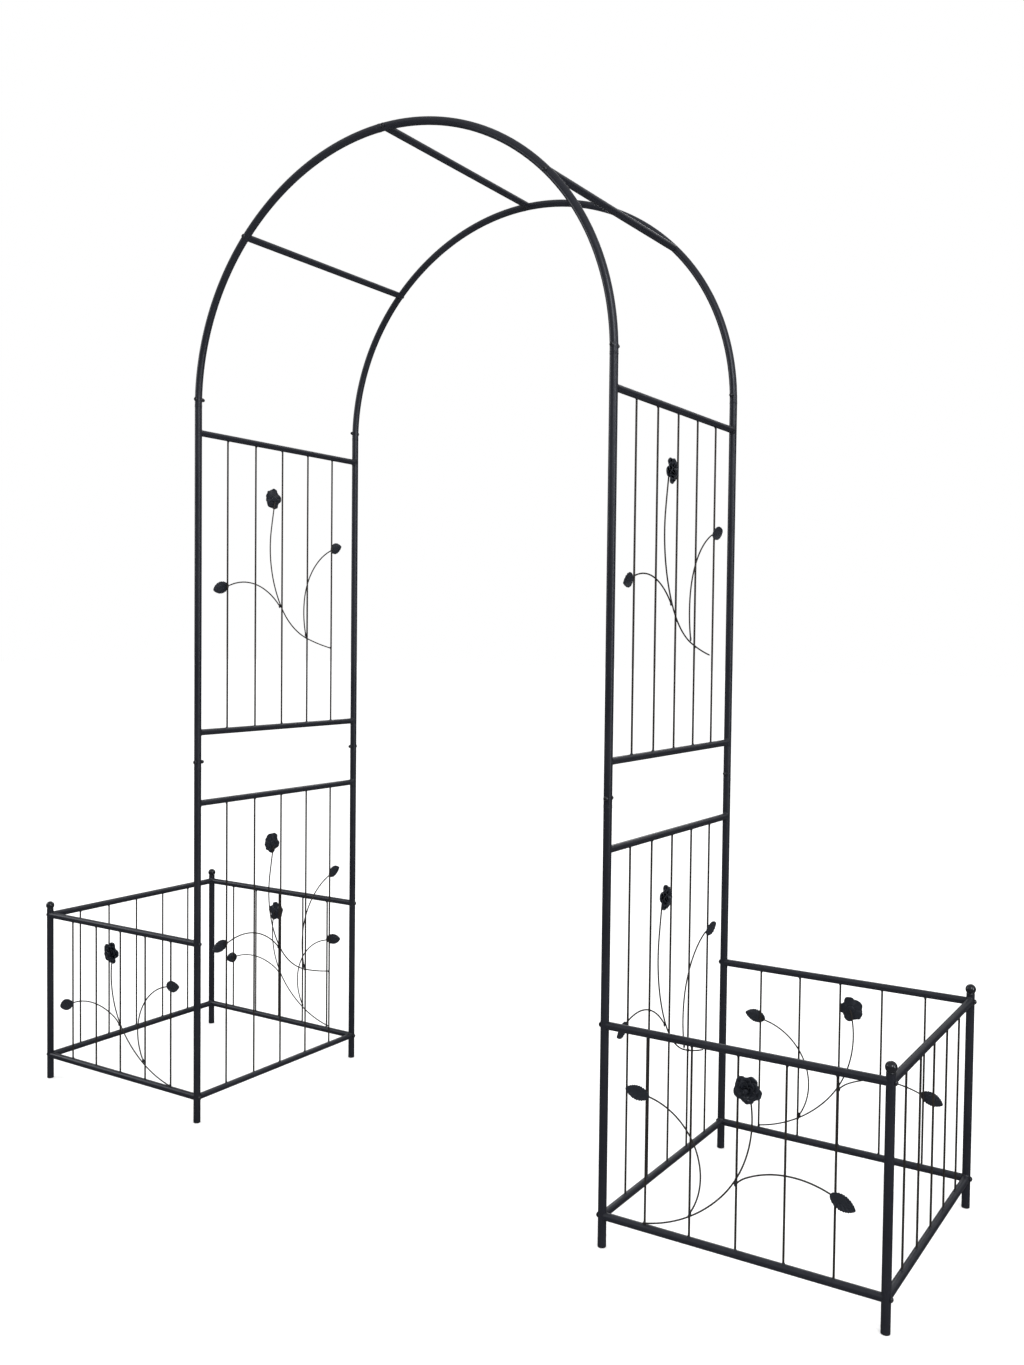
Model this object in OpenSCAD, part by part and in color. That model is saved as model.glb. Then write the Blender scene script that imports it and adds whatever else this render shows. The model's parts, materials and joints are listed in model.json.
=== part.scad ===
// Garden trellis arch: two pairs of tube posts, a bent arch, side ladders of thin wires with
// climbing-rose ornaments, and an open planter frame on each side.
// X runs along the span from left to right, Y from front to back, Z up.
// The origin is on the ground, at the middle of the footprint.

/* [Plan] */
// Distance between the arch posts' centres, left to right
span = 1052; // [1000:2:1100]
// Distance between the front and the back posts' centres
depth = 545; // [520:5:580]
// Distance from an arch post to the planter's outer post
planter_length = 520; // [500:5:560]

/* [Heights] */
// Height of the lowest rails
rail_low = 58; // [50:1:70]
// Height of the planters' top rails
rail_high = 411; // [400:1:430]
// Height of a side ladder, from its lower bar to its upper bar
ladder_height = 674; // [660:2:690]
// Height of the upper ladders' lower bars
upper_ladder_low = 893; // [885:1:905]
// Height of the bolts that join the lower and upper posts
post_joint = 826; // [820:1:835]
// Height of the bolts that join the upper posts and the arch
arch_joint = 1641; // [1625:1:1660]
// Distance from a joint bolt down to the seam between the two tubes
seam_drop = 14; // [12:1:16]

/* [Arch] */
// Bend radius of the arch's shoulders, a little tighter than its crown
shoulder_r = 495; // [480:1:499]

/* [Tubes, rods and wires] */
// Diameter of the posts and the arch tubes
tube_d = 16; // [16:0.1:16.4]
// Diameter of the planter rails and the arch crossbars
rail_d = 15; // [14.6:0.1:15]
// Diameter of the side ladders' bars
bar_d = 14; // [13:0.1:14]
// Wall thickness of every tube
wall = 1.2; // [1:0.1:1.3]
// Diameter of the upright wires
wire_d = 4; // [3.6:0.1:4.2]
// Upright wires in each panel
wire_count = 5; // [5]
// Diameter of the rose stems
stem_d = 3; // [2.6:0.1:3]

/* [Finials and feet] */
// Height of the planters' outer posts, without finial
corner_post_top = 425.5; // [420:0.5:440]
// Diameter of the finial ball
ball_d = 20; // [18:0.5:22]
// Thickness of a foot cap under its tube
cap_t = 3; // [2.5:0.5:4]

/* [Bolts] */
// Diameter of every bolt's shank
bolt_d = 5; // [5:0.5:6]
// Diameter of the domed bolt head
head_d = 10; // [9.5:0.5:12]
// Height of the domed bolt head
head_h = 4; // [3:0.5:4.5]
// Width across the corners of the hex socket in a bolt's head
socket_d = 3.5; // [3.5:0.1:4.6]

/* [Roses] */
// Thickness of the petals' sheet
petal_t = 1; // [0.8:0.1:1]
// Thickness of the leaves' sheet
leaf_t = 1; // [0.8:0.1:1.2]
// Length of a leaf
leaf_length = 47; // [42:1:54]
// Width of a leaf
leaf_width = 27; // [22:1:30]

/* [Hidden] */
$fn = 48;
SIDES = [-1, 1];
node = "all";

tube_bore = tube_d - 2 * wall;
rail_bore = rail_d - 2 * wall;
bar_bore = bar_d - 2 * wall;
hole_d = bolt_d + 0.4;
thread_d = bolt_d + 0.1;
slip = 0.3;

post_seam = post_joint - seam_drop;
spring = arch_joint - seam_drop;
lower_ladder_low = rail_low;

// The arch has three centres: a shoulder bend up to 45 degrees, then a wider crown bend.
shoulder_turn = 45;
shoulder_x = span / 2 - shoulder_r;
crown_r = shoulder_r + shoulder_x / cos(shoulder_turn);
crown_z = spring - (crown_r - shoulder_r) * sin(shoulder_turn);
apex_seam_turn = seam_drop / crown_r * 180 / PI;
arch_bolt_turn = seam_drop / shoulder_r * 180 / PI;
crossbar_x = crown_r * cos(shoulder_turn);
crossbar_z = crown_z + crown_r * sin(shoulder_turn);
apex_z = crown_z + crown_r;

sleeve_d = tube_bore - 2 * slip;
sleeve_bore = sleeve_d - 2;
sleeve_down = 40;
sleeve_up = 32;
insert_start = tube_d / 2 + 0.6;
insert_length = 14;
plug_length = 12;
screw_length = tube_d + 12;
// A domed cap nut: hexagon, then a short neck with a round end
nut_h = 5;
nut_d = 9.2;
nut_dome_d = 7.6;
nut_neck = 1;
nut_bore_depth = 8;
joint_bolt_length = tube_d + nut_bore_depth - 0.5;
coping_slack = 0.15;

// A stem lies on the outer face of the wires; leaves and roses lie on the stem.
contact_gap = 0.1;
hairline = 0.02;
stem_out = (wire_d + stem_d) / 2 + contact_gap;
rose_out = stem_out + stem_d / 2 + contact_gap;

wire_pitch_side = depth / (wire_count + 1);
wire_pitch_planter = planter_length / (wire_count + 1);

// Rods of one ornament: start point, first heading, then [bend radius, turn] stretches, with
// negative turns to the right. The middle wire's foot is the zero point.
LADDER_RODS = [
    [[178, 190.5], 169, [[665, -8], [176, -40], [276, -40], [2000, -2]]],
    [[-8.8, 290], 131, [[169, 26], [145, 45]]],
    [[84, 219.8], 106, [[221, -24], [163, -62]]]
];
LADDER_ROSE = [-28, 551];
LADDER_LEAVES = [[-179, 337, 196], [178, 440, 16]];
// How far the ladders' ornaments sit towards the back, on the left side and on the right side
LADDER_SHIFT = [7, -18];
PLANTER_RODS = [
    [[176, 9.5], 169, [[269, -37], [216, -57]]],
    [[2.1, 121], 127, [[65, 25], [177, 50]]],
    [[86.5, 48], 124, [[125, -116]]]
];
PLANTER_ROSE = [-21, 294];
PLANTER_LEAVES = [[-166, 148.5, 200], [165, 242, 9]];
leaf_teeth = 9;

// Petal whorls, from the outside in: dish radius, lobe circle, lobe radius, middle radius, foot.
rose_foot = rose_out + 1.4;
WHORLS = [
    [45, 13.5, 12, 10, rose_foot],
    [24, 9.5, 9, 6, rose_foot + petal_t],
    [12, 5.5, 6, 3, rose_foot + 2 * petal_t]
];
lobes = 5;
rivet_d = 3.6;

function side_name(sx) = sx < 0 ? "left" : "right";
function end_name(sy) = sy < 0 ? "front" : "back";
function spot(sx, sy) = str(end_name(sy), "_", side_name(sx));
function level_name(upper) = upper ? "upper" : "lower";
function show(name) = node == "all" || node == name;
function ladder_low(upper) = upper ? upper_ladder_low : lower_ladder_low;

NODES = [
    for (sx = SIDES, sy = SIDES) str("lower_post_", spot(sx, sy)),
    for (sx = SIDES, sy = SIDES) str("upper_post_", spot(sx, sy)),
    for (sx = SIDES, sy = SIDES) str("corner_post_", spot(sx, sy)),
    for (sx = SIDES, sy = SIDES) str("arch_tube_", spot(sx, sy)),
    "arch_crossbar_left", "arch_crossbar_apex", "arch_crossbar_right",
    for (upper = [false, true], sx = SIDES) str(level_name(upper), "_ladder_bottom_bar_", side_name(sx)),
    for (upper = [false, true], sx = SIDES) str(level_name(upper), "_ladder_top_bar_", side_name(sx)),
    for (sx = SIDES, sy = SIDES) str("planter_bottom_rail_", spot(sx, sy)),
    for (sx = SIDES, sy = SIDES) str("planter_top_rail_", spot(sx, sy)),
    for (sx = SIDES) str("planter_end_bottom_rail_", side_name(sx)),
    for (sx = SIDES) str("planter_end_top_rail_", side_name(sx)),
    for (sx = SIDES) str("ladder_wires_", side_name(sx)),
    for (sx = SIDES) str("planter_wires_", side_name(sx)),
    for (sx = SIDES) str("ladder_rose_stems_", side_name(sx)),
    for (sx = SIDES) str("planter_rose_stems_", side_name(sx)),
    for (sx = SIDES) str("rose_leaves_", side_name(sx)),
    "rose_outer_petals", "rose_inner_petals", "rose_buds",
    "ball_finials", "foot_caps", "joint_sleeves", "threaded_inserts",
    "joint_bolts", "joint_nuts", "crossbar_screws", "planter_screws"
];

// ---- shared shapes ----

// Children as drawn, or mirrored to the left half for sx = -1 and to the front for sy = -1
module half(sx, sy = 1) {
    if (sx < 0) mirror([1, 0, 0]) end(sy) children();
    else end(sy) children();
}

module end(sy) {
    if (sy < 0) mirror([0, 1, 0]) children();
    else children();
}

module powder_black() {
    color([0.15, 0.16, 0.18]) children();
}

module wire_black() {
    color([0.11, 0.10, 0.10]) children();
}

module bolt_black() {
    color([0.2, 0.2, 0.22]) children();
}

module along_x(x, z = 0) {
    translate([x, 0, z]) rotate([0, 90, 0]) children();
}

module along_y(y, x = 0, z = 0) {
    translate([x, y, z]) rotate([-90, 0, 0]) children();
}

module pipe(d, bore, length) {
    difference() {
        cylinder(d = d, h = length);
        translate([0, 0, -1]) cylinder(d = bore, h = length + 2);
    }
}

// A hole across a tube, centred on the tube's own axis
module cross_hole_y(z) {
    translate([0, 0, z]) rotate([90, 0, 0]) cylinder(d = hole_d, h = tube_d + 4, center = true);
}

module cross_hole_x(z) {
    translate([0, 0, z]) rotate([0, 90, 0]) cylinder(d = hole_d, h = tube_d + 4, center = true);
}

// A bend in the XZ plane about the shape's own zero, from one angle to another
module bend(r, from, to, d, bore = 0) {
    rotate([90, 0, 0]) rotate([0, 0, from]) rotate_extrude(angle = to - from)
        translate([r, 0]) difference() {
            circle(d = d);
            if (bore > 0) circle(d = bore);
        }
}

module at_shoulder() {
    translate([shoulder_x, 0, spring]) children();
}

module at_crown() {
    translate([0, 0, crown_z]) children();
}

// A screw or bolt with its shank down from the zero plane and its domed head above it
module dome_screw(shank_length) {
    dome_h = head_h - 0.8;
    dome_r = (pow(head_d / 2, 2) + pow(dome_h, 2)) / (2 * dome_h);
    difference() {
        intersection() {
            cylinder(d = head_d, h = head_h);
            translate([0, 0, head_h - dome_r]) sphere(r = dome_r);
        }
        translate([0, 0, head_h - 2]) cylinder(d = socket_d, h = 3, $fn = 6);
    }
    translate([0, 0, -shank_length]) cylinder(d = bolt_d, h = shank_length + 0.5);
}

// ---- posts ----

module at_arch_post(sx, sy) {
    half(sx, sy) translate([span / 2, depth / 2, 0]) children();
}

module at_corner_post(sx, sy) {
    half(sx, sy) translate([span / 2 + planter_length, depth / 2, 0]) children();
}

module lower_post(sx, sy) {
    powder_black() at_arch_post(sx, sy) difference() {
        translate([0, 0, cap_t]) pipe(tube_d, tube_bore, post_seam - cap_t);
        for (z = [rail_low, rail_high]) cross_hole_x(z);
    }
}

module upper_post(sx, sy) {
    powder_black() at_arch_post(sx, sy) difference() {
        translate([0, 0, post_seam]) pipe(tube_d, tube_bore, spring - post_seam);
        cross_hole_y(post_joint);
    }
}

module corner_post(sx, sy) {
    powder_black() at_corner_post(sx, sy) difference() {
        translate([0, 0, cap_t]) pipe(tube_d, tube_bore, corner_post_top - cap_t);
        for (z = [rail_low, rail_high]) cross_hole_x(z);
    }
}

// ---- arch ----

// Each arch is two bent tubes, sleeved together a little to the left of the apex bolt.
module arch_tube(sx, sy) {
    crown_end = 90 + sx * apex_seam_turn;
    powder_black() half(sx, sy) translate([0, depth / 2, 0]) difference() {
        union() {
            at_shoulder() bend(shoulder_r, 0, shoulder_turn, tube_d, tube_bore);
            at_crown() bend(crown_r, shoulder_turn, crown_end, tube_d, tube_bore);
        }
        at_shoulder() rotate([0, -arch_bolt_turn, 0]) translate([shoulder_r, 0, 0]) cross_hole_y(0);
        translate([crossbar_x, 0, crossbar_z]) cross_hole_y(0);
        if (sx > 0) translate([0, 0, apex_z]) cross_hole_y(0);
    }
}

// A crossbar between the front and the back arch, its ends coped to the arch tubes.
// The arch runs at the given angle from the vertical where it meets the bar.
module arch_crossbar(x, z, lean) {
    powder_black() difference() {
        along_y(-depth / 2, x, z) pipe(rail_d, rail_bore, depth);
        for (sy = SIDES) translate([x, sy * depth / 2, z]) rotate([0, lean, 0])
            cylinder(d = tube_d + coping_slack, h = 3 * tube_d, center = true);
    }
}

// ---- side ladders ----

module ladder_bar(sx, z) {
    powder_black() half(sx) difference() {
        along_y(-depth / 2, span / 2, z) pipe(bar_d, bar_bore, depth);
        for (sy = SIDES) translate([span / 2, sy * depth / 2, z])
            cylinder(d = tube_d, h = 3 * tube_d, center = true);
    }
}

// Upright wires between two bars of the given diameter, coped to both
module wire_row(pitch, height, cross_d) {
    difference() {
        for (i = [1 : wire_count])
            translate([(i - (wire_count + 1) / 2) * pitch, 0, 0]) cylinder(d = wire_d, h = height);
        for (z = [0, height]) translate([0, 0, z]) rotate([0, 90, 0])
            cylinder(d = cross_d, h = 6 * pitch, center = true);
    }
}

module ladder_wires(sx) {
    wire_black() half(sx) for (upper = [false, true])
        translate([span / 2, 0, ladder_low(upper)]) rotate([0, 0, 90])
            wire_row(wire_pitch_side, ladder_height, bar_d);
}

// ---- planters ----

// A front or back rail. Its ends are coped to the posts and cut back round the bars welded there.
module planter_rail(sx, sy, z, inner_bar_d) {
    powder_black() half(sx, sy) translate([span / 2, depth / 2, z]) difference() {
        along_x(0) pipe(rail_d, rail_bore, planter_length);
        for (x = [0, planter_length]) translate([x, 0, 0])
            cylinder(d = tube_d, h = 3 * tube_d, center = true);
        if (inner_bar_d > 0) along_y(-3 * tube_d) cylinder(d = inner_bar_d, h = 3 * tube_d);
        along_y(-3 * tube_d, planter_length) cylinder(d = rail_d, h = 3 * tube_d);
    }
}

module planter_end_rail(sx, z) {
    powder_black() half(sx) translate([span / 2 + planter_length, 0, z]) difference() {
        along_y(-depth / 2) pipe(rail_d, rail_bore, depth);
        for (sy = SIDES) translate([0, sy * depth / 2, 0])
            cylinder(d = tube_d, h = 3 * tube_d, center = true);
    }
}

module planter_wires(sx) {
    height = rail_high - rail_low;
    wire_black() half(sx) {
        for (sy = SIDES) translate([span / 2 + planter_length / 2, sy * depth / 2, rail_low])
            wire_row(wire_pitch_planter, height, rail_d);
        translate([span / 2 + planter_length, 0, rail_low]) rotate([0, 0, 90])
            wire_row(wire_pitch_side, height, rail_d);
    }
}

// ---- rose ornaments ----

// A rod in the drawing plane, from the zero point along +X through a chain of bends. A hairline
// parts each bend from the next one, so that every bend stays a clean solid.
module bent_rod(d, bends, i = 0) {
    if (i < len(bends)) {
        r = bends[i][0];
        turn = bends[i][1];
        side = sign(turn);
        cut = hairline / r * 180 / PI;
        translate([0, side * r, 0]) rotate([0, 0, side > 0 ? -90 : 90 + turn + cut])
            rotate_extrude(angle = abs(turn) - cut, $fn = 144) translate([r, 0]) circle(d = d);
        translate([r * sin(abs(turn)), side * r * (1 - cos(turn)), 0])
            rotate([0, 0, turn]) bent_rod(d, bends, i + 1);
    }
}

module stems(rods) {
    for (rod = rods) translate([rod[0][0], rod[0][1], stem_out]) rotate([0, 0, rod[1]])
        bent_rod(stem_d, rod[2]);
}

// Half-width of a leaf at t from its base (0) to its tip (1), with saw teeth along the edge
function leaf_half(t) = leaf_width / 2 * pow(sin(180 * pow(t, 0.8)), 0.75);
function leaf_edge(side) = [
    for (i = [1 : leaf_teeth]) let (t = i / (leaf_teeth + 1))
        for (k = [0, 1]) [(t + k * 0.03) * leaf_length, side * leaf_half(t) * (1 - k * 0.12)]
];
function reversed(points) = [for (i = [len(points) - 1 : -1 : 0]) points[i]];

module leaf() {
    linear_extrude(leaf_t)
        polygon(concat([[0, 0]], leaf_edge(-1), [[leaf_length, 0]], reversed(leaf_edge(1))));
}

module leaves(places) {
    for (p = places) translate([p[0], p[1], rose_out]) rotate([0, 0, p[2]]) leaf();
}

// A dished whorl of petals: a thin ball shell cut to a ring of round lobes
module petal_whorl(whorl) {
    dish_r = whorl[0];
    foot = whorl[4];
    difference() {
        intersection() {
            translate([0, 0, foot + dish_r]) sphere(r = dish_r);
            linear_extrude(foot + dish_r) {
                for (i = [0 : lobes - 1]) rotate(360 / lobes * (i + 0.5) + foot * 36)
                    translate([whorl[1], 0]) circle(r = whorl[2]);
                circle(r = whorl[3]);
            }
        }
        translate([0, 0, foot + dish_r]) sphere(r = dish_r - petal_t);
        cylinder(d = rivet_d + 0.1, h = foot + 2 * petal_t);
    }
}

module bud() {
    bud_d = 9;
    bud_z = WHORLS[2][4] + petal_t + bud_d / 2 + 0.2;
    translate([0, 0, rose_out]) cylinder(d = 15, h = rose_foot - rose_out);
    translate([0, 0, rose_out]) cylinder(d = rivet_d, h = bud_z - rose_out);
    translate([0, 0, bud_z]) sphere(d = bud_d);
    translate([0, 0, bud_z]) cylinder(d = bud_d, h = 2);
    translate([0, 0, bud_z + 2]) sphere(d = bud_d);
}

// Draws children in a side ladder's outward-facing plane, zero at the foot of the middle wire, or
// a little to the front or back of it
module on_ladder(sx, upper) {
    shift = LADDER_SHIFT[sx < 0 ? 0 : 1];
    half(sx) translate([span / 2, shift, ladder_low(upper)]) rotate([90, 0, 90]) children();
}

// The same for a planter's front or back panel, with the drawing's start towards the arch
module on_planter(sx, sy) {
    half(sx, -sy) translate([span / 2 + planter_length / 2, -depth / 2, rail_low])
        rotate([90, 0, 0]) mirror([1, 0, 0]) children();
}

module ladder_rose_stems(sx) {
    wire_black() for (upper = [false, true]) on_ladder(sx, upper) stems(LADDER_RODS);
}

module planter_rose_stems(sx) {
    wire_black() for (sy = SIDES) on_planter(sx, sy) stems(PLANTER_RODS);
}

module rose_leaves(sx) {
    powder_black() {
        for (upper = [false, true]) on_ladder(sx, upper) leaves(LADDER_LEAVES);
        for (sy = SIDES) on_planter(sx, sy) leaves(PLANTER_LEAVES);
    }
}

module at_each_rose() {
    for (sx = SIDES) {
        for (upper = [false, true]) on_ladder(sx, upper) translate(LADDER_ROSE) children();
        for (sy = SIDES) on_planter(sx, sy) translate(PLANTER_ROSE) children();
    }
}

module rose_outer_petals() {
    powder_black() at_each_rose() petal_whorl(WHORLS[0]);
}

module rose_inner_petals() {
    powder_black() at_each_rose() for (i = [1, 2]) petal_whorl(WHORLS[i]);
}

module rose_buds() {
    powder_black() at_each_rose() bud();
}

// ---- finials, feet and fastenings ----

module ball_finials() {
    collar_h = 2;
    ball_sunk = 2.5;
    powder_black() for (sx = SIDES, sy = SIDES) at_corner_post(sx, sy) translate([0, 0, corner_post_top]) {
        translate([0, 0, -plug_length]) cylinder(d = tube_bore - slip, h = plug_length + 1);
        cylinder(d = tube_d, h = collar_h);
        translate([0, 0, collar_h - ball_sunk + ball_d / 2]) sphere(d = ball_d);
    }
}

module foot_cap() {
    edge_r = cap_t / 2;
    rotate_extrude() {
        square([tube_d / 2 - edge_r, cap_t]);
        translate([0, edge_r]) square([tube_d / 2, cap_t - edge_r]);
        translate([tube_d / 2 - edge_r, edge_r]) circle(r = edge_r);
    }
    translate([0, 0, cap_t - 1]) cylinder(d = tube_bore - slip, h = plug_length + 1);
}

module foot_caps() {
    powder_black() for (sx = SIDES, sy = SIDES) {
        at_arch_post(sx, sy) foot_cap();
        at_corner_post(sx, sy) foot_cap();
    }
}

// Sleeves inside the post joints, the arch joints and the two apex joints
module joint_sleeves() {
    turn_up = sleeve_up / shoulder_r * 180 / PI;
    turn_apex = sleeve_up / crown_r * 180 / PI;
    bolt_black() {
        for (sx = SIDES, sy = SIDES) at_arch_post(sx, sy) difference() {
            translate([0, 0, post_seam - sleeve_down])
                pipe(sleeve_d, sleeve_bore, sleeve_down + sleeve_up);
            cross_hole_y(post_joint);
        }
        for (sx = SIDES, sy = SIDES) half(sx, sy) translate([0, depth / 2, 0]) difference() {
            union() {
                translate([span / 2, 0, spring - sleeve_down])
                    pipe(sleeve_d, sleeve_bore, sleeve_down);
                at_shoulder() bend(shoulder_r, 0, turn_up, sleeve_d, sleeve_bore);
            }
            at_shoulder() rotate([0, -arch_bolt_turn, 0]) translate([shoulder_r, 0, 0])
                cross_hole_y(0);
        }
        for (sy = SIDES) translate([0, sy * depth / 2, 0]) difference() {
            at_crown() bend(crown_r, 90 + apex_seam_turn - turn_apex, 90 + apex_seam_turn + turn_apex,
                sleeve_d, sleeve_bore);
            translate([0, 0, apex_z]) cross_hole_y(0);
        }
    }
}

module threaded_insert() {
    pipe(rail_bore - 0.1, thread_d, insert_length);
}

// The places where an arch crossbar meets the back arch, as [x, z]
CROSSBARS = [[-crossbar_x, crossbar_z], [0, apex_z], [crossbar_x, crossbar_z]];

module threaded_inserts() {
    bolt_black() {
        for (bar = CROSSBARS, sy = SIDES) end(sy)
            along_y(depth / 2 - insert_start - insert_length, bar[0], bar[1]) threaded_insert();
        for (sx = SIDES, sy = SIDES, z = [rail_low, rail_high]) half(sx, sy)
            translate([span / 2, depth / 2, z])
                for (x = [insert_start, planter_length - insert_start - insert_length])
                    along_x(x) threaded_insert();
    }
}

// A bolt along Y through an arch post or arch tube at (x, z), its head on the outer side
module joint_bolt_at(sx, sy, z) {
    half(sx, sy) along_y(depth / 2 + tube_d / 2, joint_x(z), z) dome_screw(joint_bolt_length);
}

// The joint bolts of the arch sit where its bend has moved a little inwards.
function joint_x(z) = z < spring ? span / 2 : shoulder_x + shoulder_r * cos(arch_bolt_turn);

module joint_bolts() {
    bolt_black() for (sx = SIDES, sy = SIDES, z = [post_joint, arch_joint]) joint_bolt_at(sx, sy, z);
}

module cap_nut() {
    difference() {
        union() {
            cylinder(d = nut_d, h = nut_h, $fn = 6);
            cylinder(d = nut_dome_d, h = nut_h + nut_neck);
            translate([0, 0, nut_h + nut_neck]) sphere(d = nut_dome_d);
        }
        translate([0, 0, -1]) cylinder(d = thread_d, h = nut_bore_depth + 1);
    }
}

module joint_nuts() {
    bolt_black() for (sx = SIDES, sy = SIDES, z = [post_joint, arch_joint])
        half(sx, sy) along_y(depth / 2 - tube_d / 2, joint_x(z), z) mirror([0, 0, 1]) cap_nut();
}

module crossbar_screws() {
    bolt_black() for (bar = CROSSBARS, sy = SIDES)
        end(sy) along_y(depth / 2 + tube_d / 2, bar[0], bar[1]) dome_screw(screw_length);
}

module planter_screws() {
    bolt_black() for (sx = SIDES, sy = SIDES, z = [rail_low, rail_high])
        half(sx, sy) translate([span / 2, depth / 2, z]) {
            translate([-tube_d / 2, 0, 0]) rotate([0, -90, 0]) dome_screw(screw_length);
            translate([planter_length + tube_d / 2, 0, 0]) rotate([0, 90, 0]) dome_screw(screw_length);
        }
}

// ---- assembly ----

for (sx = SIDES, sy = SIDES) {
    if (show(str("lower_post_", spot(sx, sy)))) lower_post(sx, sy);
    if (show(str("upper_post_", spot(sx, sy)))) upper_post(sx, sy);
    if (show(str("corner_post_", spot(sx, sy)))) corner_post(sx, sy);
    if (show(str("arch_tube_", spot(sx, sy)))) arch_tube(sx, sy);
    if (show(str("planter_bottom_rail_", spot(sx, sy)))) planter_rail(sx, sy, rail_low, bar_d);
    if (show(str("planter_top_rail_", spot(sx, sy)))) planter_rail(sx, sy, rail_high, 0);
}
for (upper = [false, true], sx = SIDES) {
    low = ladder_low(upper);
    high = low + ladder_height;
    if (show(str(level_name(upper), "_ladder_bottom_bar_", side_name(sx)))) ladder_bar(sx, low);
    if (show(str(level_name(upper), "_ladder_top_bar_", side_name(sx)))) ladder_bar(sx, high);
}
for (sx = SIDES) {
    if (show(str("arch_crossbar_", side_name(sx)))) arch_crossbar(sx * crossbar_x, crossbar_z, -sx * 45);
    if (show(str("planter_end_bottom_rail_", side_name(sx)))) planter_end_rail(sx, rail_low);
    if (show(str("planter_end_top_rail_", side_name(sx)))) planter_end_rail(sx, rail_high);
    if (show(str("ladder_wires_", side_name(sx)))) ladder_wires(sx);
    if (show(str("planter_wires_", side_name(sx)))) planter_wires(sx);
    if (show(str("ladder_rose_stems_", side_name(sx)))) ladder_rose_stems(sx);
    if (show(str("planter_rose_stems_", side_name(sx)))) planter_rose_stems(sx);
    if (show(str("rose_leaves_", side_name(sx)))) rose_leaves(sx);
}
if (show("arch_crossbar_apex")) arch_crossbar(0, apex_z, 90);
if (show("rose_outer_petals")) rose_outer_petals();
if (show("rose_inner_petals")) rose_inner_petals();
if (show("rose_buds")) rose_buds();
if (show("ball_finials")) ball_finials();
if (show("foot_caps")) foot_caps();
if (show("joint_sleeves")) joint_sleeves();
if (show("threaded_inserts")) threaded_inserts();
if (show("joint_bolts")) joint_bolts();
if (show("joint_nuts")) joint_nuts();
if (show("crossbar_screws")) crossbar_screws();
if (show("planter_screws")) planter_screws();
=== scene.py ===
"""Garden trellis arch with side planters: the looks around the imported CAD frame."""
import json
import math
import random

import bmesh
import bpy
from mathutils import Matrix, Vector


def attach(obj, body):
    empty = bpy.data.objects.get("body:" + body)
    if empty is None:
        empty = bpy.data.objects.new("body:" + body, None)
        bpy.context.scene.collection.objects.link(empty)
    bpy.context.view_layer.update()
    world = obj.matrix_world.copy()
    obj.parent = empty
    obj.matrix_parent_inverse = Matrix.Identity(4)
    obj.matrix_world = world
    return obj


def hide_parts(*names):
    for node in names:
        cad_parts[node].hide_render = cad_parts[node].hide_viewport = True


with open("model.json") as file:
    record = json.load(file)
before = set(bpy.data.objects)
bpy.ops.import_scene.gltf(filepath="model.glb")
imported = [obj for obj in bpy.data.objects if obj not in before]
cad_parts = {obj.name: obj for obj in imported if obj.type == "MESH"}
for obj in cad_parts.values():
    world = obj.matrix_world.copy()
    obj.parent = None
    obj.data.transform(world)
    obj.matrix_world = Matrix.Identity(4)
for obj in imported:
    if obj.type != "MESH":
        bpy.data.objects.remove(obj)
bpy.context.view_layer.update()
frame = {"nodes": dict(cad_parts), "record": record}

# ---------------------------------------------------------------- dimensions, in metres
MM = 0.001
SIDES = ((-1, "left"), (1, "right"))
SPAN, DEPTH, PLANTER = 1.052, 0.545, 0.520
RAIL_LOW, RAIL_HIGH = 0.058, 0.411
CORNER_TOP = 0.4255
LADDER = 0.674
LADDER_LOWS = (0.058, 0.893)
POST_SEAM, SPRING = 0.812, 1.627
TUBE_R, RAIL_R, BAR_R, WIRE_R, STEM_R = 0.008, 0.0075, 0.007, 0.002, 0.0015
WIRES = 5

# The arch bends round a shoulder up to 45 degrees, then round the crown; its seam is off the apex.
SHOULDER_TURN = math.radians(45)
SHOULDER_R = 0.495
CROWN_R = SHOULDER_R + (SPAN / 2 - SHOULDER_R) / math.cos(SHOULDER_TURN)
CROWN_Z = SPRING - (CROWN_R - SHOULDER_R) * math.sin(SHOULDER_TURN)
APEX_SEAM_TURN = 0.014 / CROWN_R

# A stem's axis and a rose's foot stand this far out from the plane of the wires.
STEM_OUT = 0.0036
ROSE_OUT = 0.0052

# The ornaments, in millimetres and degrees from the foot of the panel's middle wire. A rod has a
# start, a first heading and a chain of bends, as (radius, turn). A leaf has a base and a heading.
LADDER_RODS = [
    ((178, 190.5), 169, [(665, -8), (176, -40), (276, -40), (2000, -2)]),
    ((-8.8, 290), 131, [(169, 26), (145, 45)]),
    ((84, 219.8), 106, [(221, -24), (163, -62)]),
]
LADDER_ROSE = (-28, 551)
LADDER_LEAVES = [(-179, 337, 196), (178, 440, 16)]
# How far the ladders' ornaments sit towards the back, on each side
LADDER_SHIFT = {-1: 7, 1: -18}
PLANTER_RODS = [
    ((176, 9.5), 169, [(269, -37), (216, -57)]),
    ((2.1, 121), 127, [(65, 25), (177, 50)]),
    ((86.5, 48), 124, [(125, -116)]),
]
PLANTER_ROSE = (-21, 294)
PLANTER_LEAVES = [(-166, 148.5, 200), (165, 242, 9)]


# ---------------------------------------------------------------- camera
CAM_POS = Vector((1.6045, -2.2807, 1.1150))
CAM_YAW, CAM_PITCH, CAM_ROLL = (math.radians(a) for a in (32.670, 2.032, 0.631))
FOCAL_PX, IMAGE_H_PX = 1258.6, 1365
SENSOR_MM = 36


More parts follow.
